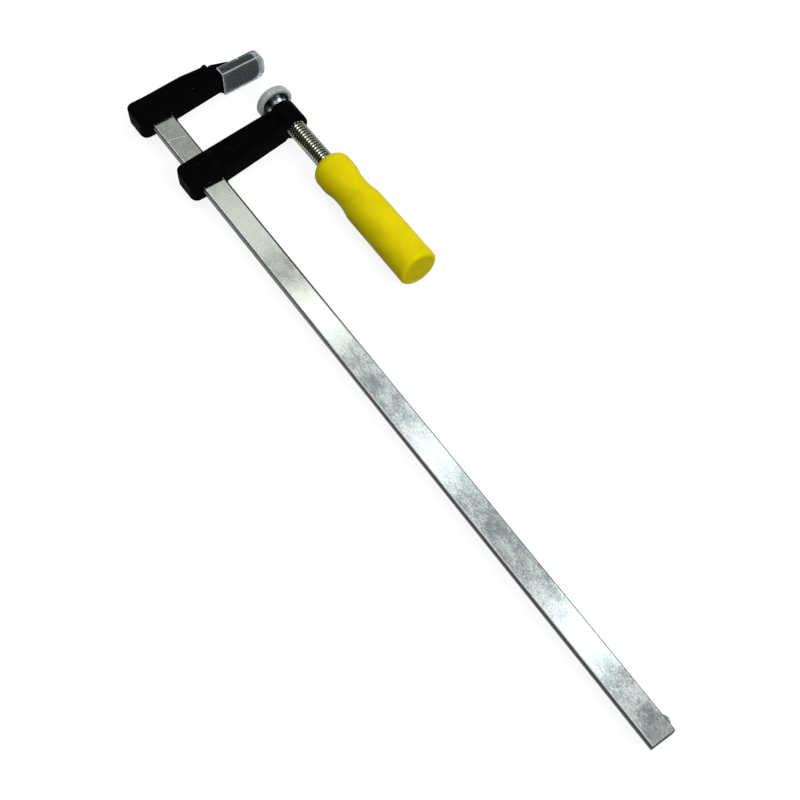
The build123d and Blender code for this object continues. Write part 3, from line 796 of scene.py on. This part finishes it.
bm = new_skin(copy_of("jaw_tip_cap"), CAP_VOXEL, CAP_PASSES)
for vertex in bm.verts:
    spot = vertex.co
    reach = (spot.y - CAP_MOUTH_Y) / (CAP_END_Y - CAP_MOUTH_Y)
    loose = math.sin(math.pi * min(max(reach, 0), 1)) * (1 - min(abs(spot.z) / CAP_HALF, 1) ** 2)
    front = min(max((spot.x - CAP_MIDDLE_X) / CAP_FRONT, 0), 1)
    near_mouth = max(0.0, 1 - (spot.y - CAP_MOUTH_Y) / LIP_REACH)
    spot.x -= BELLY * loose * front
    spot.y += LIP_WAVE * near_mouth * noise.noise(Vector((spot.x, 0, spot.z)) * LIP_SCALE)
finish_piece("tip_cap", bm, soft_cap, "rail", "soft_cap", "jaw_tip_cap")

# %% [markdown]
# ## The swivel pad and its cap
# The pad is turned from steel: a plate, a tapered hub, and a socket crimped over the screw's ball. Its cap
# is a soft ring that wraps the plate's rim and covers its face. Both are round, so both come off the lathe,
# from outlines with the roundings that the real pieces have.

# %% Turn the pad and its cap
BALL_X, BALL_RADIUS, SOCKET_RADIUS, SOCKET_MOUTH = 46.47, 4.8, 4.9, 54.7
PLATE = [(39.6, 0, 0), (39.6, 14.4, 0.8), (43.8, 14.4, 0.8), (43.8, 11.2, 0.9), (50.5, 8.0, 1.1),
         (50.5, 4.0, 0.3)]
SLEEVE = [(38.0, 0, 0), (38.0, 16.3, 1.9), (45.1, 16.3, 1.3), (45.1, 12.9, 0.55), (43.95, 12.9, 0.5),
          (43.95, 14.55, 0.3), (39.57, 14.55, 0.4), (39.57, 0, 0)]
SLEEVE_LIP_X, SLEEVE_LIP, SLEEVE_WAVE = 42 * MM, 3 * MM, 0.12 * MM
WAVES_ROUND, WAVE_START = 3, 0.7


def ball_arc(radius, from_angle, to_angle, steps=16):
    """Points of X and radius round the ball's centre, between two angles from the screw's axis."""
    angles = [math.radians(from_angle + (to_angle - from_angle) * k / steps) for k in range(steps + 1)]
    return [(BALL_X + radius * math.cos(a), radius * math.sin(a)) for a in angles]


bm = bmesh.new()
turn_outline(bm, rounded(PLATE) + ball_arc(SOCKET_RADIUS, SOCKET_MOUTH, 180))
finish_piece("swivel_pad", bm, zinc_pad, "pad", "zinc_pad", "pressure_pad")

bm = bmesh.new()
turn_outline(bm, rounded(SLEEVE))
for vertex in bm.verts:
    around = math.atan2(vertex.co.z, vertex.co.y)
    lip = min(max((vertex.co.x - SLEEVE_LIP_X) / SLEEVE_LIP, 0), 1)
    out = Vector((0, vertex.co.y, vertex.co.z)).normalized()
    vertex.co += out * lip * SLEEVE_WAVE * math.sin(WAVES_ROUND * around + WAVE_START)
finish_piece("pad_sleeve", bm, soft_pad_cap, "pad", "soft_pad_cap", "pad_cap")

# %% [markdown]
# ## The screw
# The thread is the one main piece whose shape is a rule: the depth at any point depends only on how far
# along the screw and how far round it the point is. A screw modifier could sweep a profile, but a rolled
# thread has rounded crests and fades out at its front end. So a Geometry Nodes tree bends a flat grid into
# a tube, and the rule sets the radius of every point. The lathe adds the neck, the ball and the riveted
# end.

# %% Roll the thread with Geometry Nodes
THREAD_START = 53.0
THREAD_END = ends_of("handle")[0] + 3.0
THREAD_PHASE = 0.75
POINTS_ALONG, POINTS_ROUND = 404, 81
thread_sizes = {"Start": THREAD_START * MM, "Length": (THREAD_END - THREAD_START) * MM, "Radius": 8.0 * MM,
                "Depth": 1.4 * MM, "Pitch": 3.0 * MM, "Crest Share": 0.50, "Root Share": 0.20,
                "Tip Radius": 5.4 * MM}

tree, size = new_tree("rolled_thread", thread_sizes)
sheet = put(tree, "GeometryNodeMeshGrid", {"Size X": size["Length"], "Size Y": 1.0,
                                           "Vertices X": POINTS_ALONG, "Vertices Y": POINTS_ROUND})
spot = split(tree, put(tree, "GeometryNodeInputPosition").outputs[0])
along = calc(tree, "MULTIPLY_ADD", size["Length"], 0.5, spot["X"])
angle = calc(tree, "MULTIPLY", spot["Y"], -2 * math.pi)
turns = calc(tree, "ADD", calc(tree, "DIVIDE", along, size["Pitch"]), spot["Y"])
phase = calc(tree, "FRACT", calc(tree, "ADD", turns, THREAD_PHASE))
from_crest = calc(tree, "ABSOLUTE", calc(tree, "SUBTRACT", phase, 0.5))
crest_edge = calc(tree, "MULTIPLY", size["Crest Share"], 0.5)
root_edge = calc(tree, "MULTIPLY_ADD", size["Root Share"], -0.5, 0.5)
sunk = calc(tree, "MULTIPLY", pick(tree, from_crest, crest_edge, root_edge), size["Depth"])
radius = calc(tree, "MINIMUM", calc(tree, "SUBTRACT", size["Radius"], sunk),
              calc(tree, "ADD", size["Tip Radius"], along))
tube = put(tree, "ShaderNodeCombineXYZ", {"X": calc(tree, "ADD", size["Start"], along),
                                          "Y": calc(tree, "MULTIPLY", radius, calc(tree, "COSINE", angle)),
                                          "Z": calc(tree, "MULTIPLY", radius, calc(tree, "SINE", angle))})
rolled = put(tree, "GeometryNodeSetPosition", {"Geometry": sheet.outputs[0], "Position": tube.outputs[0]})
closed = put(tree, "GeometryNodeMergeByDistance", {"Geometry": rolled.outputs[0], "Distance": MERGE_PIECE})
end_tree(tree, closed.outputs[0], zinc_thread)
bm = grown(tree, thread_sizes)
bmesh.ops.remove_doubles(bm, verts=bm.verts, dist=MERGE_PIECE)
bmesh.ops.holes_fill(bm, edges=[e for e in bm.edges if e.is_boundary], sides=0)
print("thread:", len(bm.faces), "faces, open edges", sum(e.is_boundary for e in bm.edges))

# %% Add the neck, the ball and the tang
NECK_RADIUS, NECK_END, BALL_NECK_ANGLE = 3.6, THREAD_START + 1.5, 48.6
TANG_WIDTH, TANG_ROUND = 9.0 * MM, 0.8 * MM
TANG_END = ends_of("handle_washer")[1]
PEEN_RADIUS, PEEN_END = 6.2, TANG_END + 2.4
SMALL_STEPS, LONG_EDGE = 64, 50 * MM

turn_outline(bm, ball_arc(BALL_RADIUS, 180, BALL_NECK_ANGLE)
             + [(THREAD_START, NECK_RADIUS), (NECK_END, NECK_RADIUS), (NECK_END, 0)], steps=SMALL_STEPS)
turn_outline(bm, rounded([(TANG_END, 0, 0), (TANG_END, PEEN_RADIUS, 0.2), (PEEN_END, PEEN_RADIUS, 1.2),
                          (PEEN_END, 0, 0)]), steps=SMALL_STEPS)
stretch = Matrix.Translation(((THREAD_END + TANG_END) / 2 * MM, 0, 0)) @ Matrix.Diagonal(
    ((TANG_END - THREAD_END) * MM, TANG_WIDTH, TANG_WIDTH, 1))
tang = bmesh.ops.create_cube(bm, size=1, matrix=stretch)["verts"]
tang_edges = {e for v in tang for e in v.link_edges}
long_edges = [e for e in tang_edges if abs(e.verts[0].co.x - e.verts[1].co.x) > LONG_EDGE]
bmesh.ops.bevel(bm, geom=long_edges, offset=TANG_ROUND, segments=3, profile=0.5, affect="EDGES")
finish_piece("screw", bm, zinc_thread, "spindle", "zinc_thread", "spindle")

# %% [markdown]
# ## The handle and its plug
# The handle is moulded round: a rounded nose where the screw goes in, a waist for the fingers, and a
# straight grip whose open end is closed by a plug. On a moulding the curves run into each other, so its
# outline is sampled closely and smoothed before the lathe turns it. The plug has a short raised line across
# it.

# %% Turn the handle
NOSE_X, HANDLE_END_X = ends_of("handle")
ROOM_X = ends_of("handle_washer")[0]
NOSE_LENGTH, NOSE_FACE, NOSE_STEPS = 9.0, 9.6, 24
HANDLE_RADIUS, GRIP_END_RADIUS = 17.2, 17.4
WAIST_START, WAIST_END, WAIST_RADIUS = 144.5, 177.5, 15.1
END_ROUND, END_LENGTH, PLUG_SEAT, SEAT_ROUND = 3.0, 6.0, 13.05, 0.25
POCKET_DEPTH, POCKET_RADIUS, POCKET_MOUTH, POCKET_SINK = 3.0, 8.25, 8.7, 0.4
STEP, STEPS_KEPT, HANDLE_STEPS = 0.6, 6, 160


def handle_radius(x):
    """Radius of the handle's outside behind its nose, before its curves are run together."""
    if WAIST_START < x < WAIST_END:
        half, sag = (WAIST_END - WAIST_START) / 2, HANDLE_RADIUS - WAIST_RADIUS
        bend = (half ** 2 + sag ** 2) / (2 * sag)
        return WAIST_RADIUS + bend - math.sqrt(bend ** 2 - (x - WAIST_START - half) ** 2)
    grip = max(0.0, (x - WAIST_END) / (HANDLE_END_X - WAIST_END))
    return HANDLE_RADIUS + (GRIP_END_RADIUS - HANDLE_RADIUS) * grip


def run_together(x, half=2.0, count=8):
    """The radius averaged over a short length, so that one curve runs into the next."""
    spread = [half * (2 * k / count - 1) for k in range(count + 1)]
    return sum(handle_radius(x + d) for d in spread) / len(spread)


side_x = NOSE_X + NOSE_LENGTH
nose = [(NOSE_X + NOSE_LENGTH * (1 - math.cos(math.pi / 2 * k / NOSE_STEPS)),
         NOSE_FACE + (HANDLE_RADIUS - NOSE_FACE) * math.sin(math.pi / 2 * k / NOSE_STEPS))
        for k in range(NOSE_STEPS + 1)]
count = round((HANDLE_END_X - END_ROUND - NOSE_X - NOSE_LENGTH) / STEP)
side = [(side_x + STEP * k, run_together(side_x + STEP * k) if k > STEPS_KEPT else HANDLE_RADIUS)
        for k in range(1, count)]
end = rounded([(HANDLE_END_X - END_LENGTH, 0, 0), (HANDLE_END_X - END_LENGTH, GRIP_END_RADIUS, 0),
               (HANDLE_END_X, GRIP_END_RADIUS, END_ROUND), (HANDLE_END_X, PLUG_SEAT, SEAT_ROUND),
               (ROOM_X, PLUG_SEAT, 0)])[2:]
pocket = [(NOSE_X + POCKET_DEPTH, 0), (NOSE_X + POCKET_DEPTH, POCKET_RADIUS),
          (NOSE_X + POCKET_SINK, POCKET_RADIUS), (NOSE_X, POCKET_MOUTH)]
bm = bmesh.new()
turn_outline(bm, pocket + nose + side + end + [(ROOM_X, 0)], steps=HANDLE_STEPS)
finish_piece("grip", bm, yellow_grip, "spindle", "yellow_grip", "handle")

# %% Turn the plug
PLUG_BACK_X, PLUG_FACE_X = ends_of("handle_plug")
PLUG_RADIUS, PLUG_BACK_ROUND, PLUG_FACE_ROUND = 13.0, 0.3, 0.4
LINE_SIZE, LINE_TURN, LINE_ROUND = (0.6 * MM, 9.0 * MM, 0.7 * MM, 1), math.radians(-28), 0.2 * MM
LINE_Y, LINE_Z = 0.6 * MM, -3.0 * MM

bm = bmesh.new()
turn_outline(bm, rounded([(PLUG_BACK_X, 0, 0), (PLUG_BACK_X, PLUG_RADIUS, PLUG_BACK_ROUND),
                          (PLUG_FACE_X, PLUG_RADIUS, PLUG_FACE_ROUND), (PLUG_FACE_X, 0, 0)]))
line_place = Matrix.Translation((PLUG_FACE_X * MM, LINE_Y, LINE_Z)) @ Matrix.Rotation(LINE_TURN, 4, "X")
line = bmesh.ops.create_cube(bm, size=1, matrix=line_place @ Matrix.Diagonal(LINE_SIZE))["verts"]
line_edges = list({e for v in line for e in v.link_edges})
bmesh.ops.bevel(bm, geom=line_edges, offset=LINE_ROUND, segments=3, profile=0.5, affect="EDGES")
finish_piece("plug", bm, yellow_plug, "spindle", "yellow_plug", "handle_plug")

# %% [markdown]
# ## Last settings
# The picture keeps plain colours, so that a finish renders as it is written, and the box of the solids is
# printed.

# %% Measure and finish
scene.view_settings.view_transform = "Standard"
print("box of the solids", [[round(x / MM, 1) for x in c] for c in cad_box])
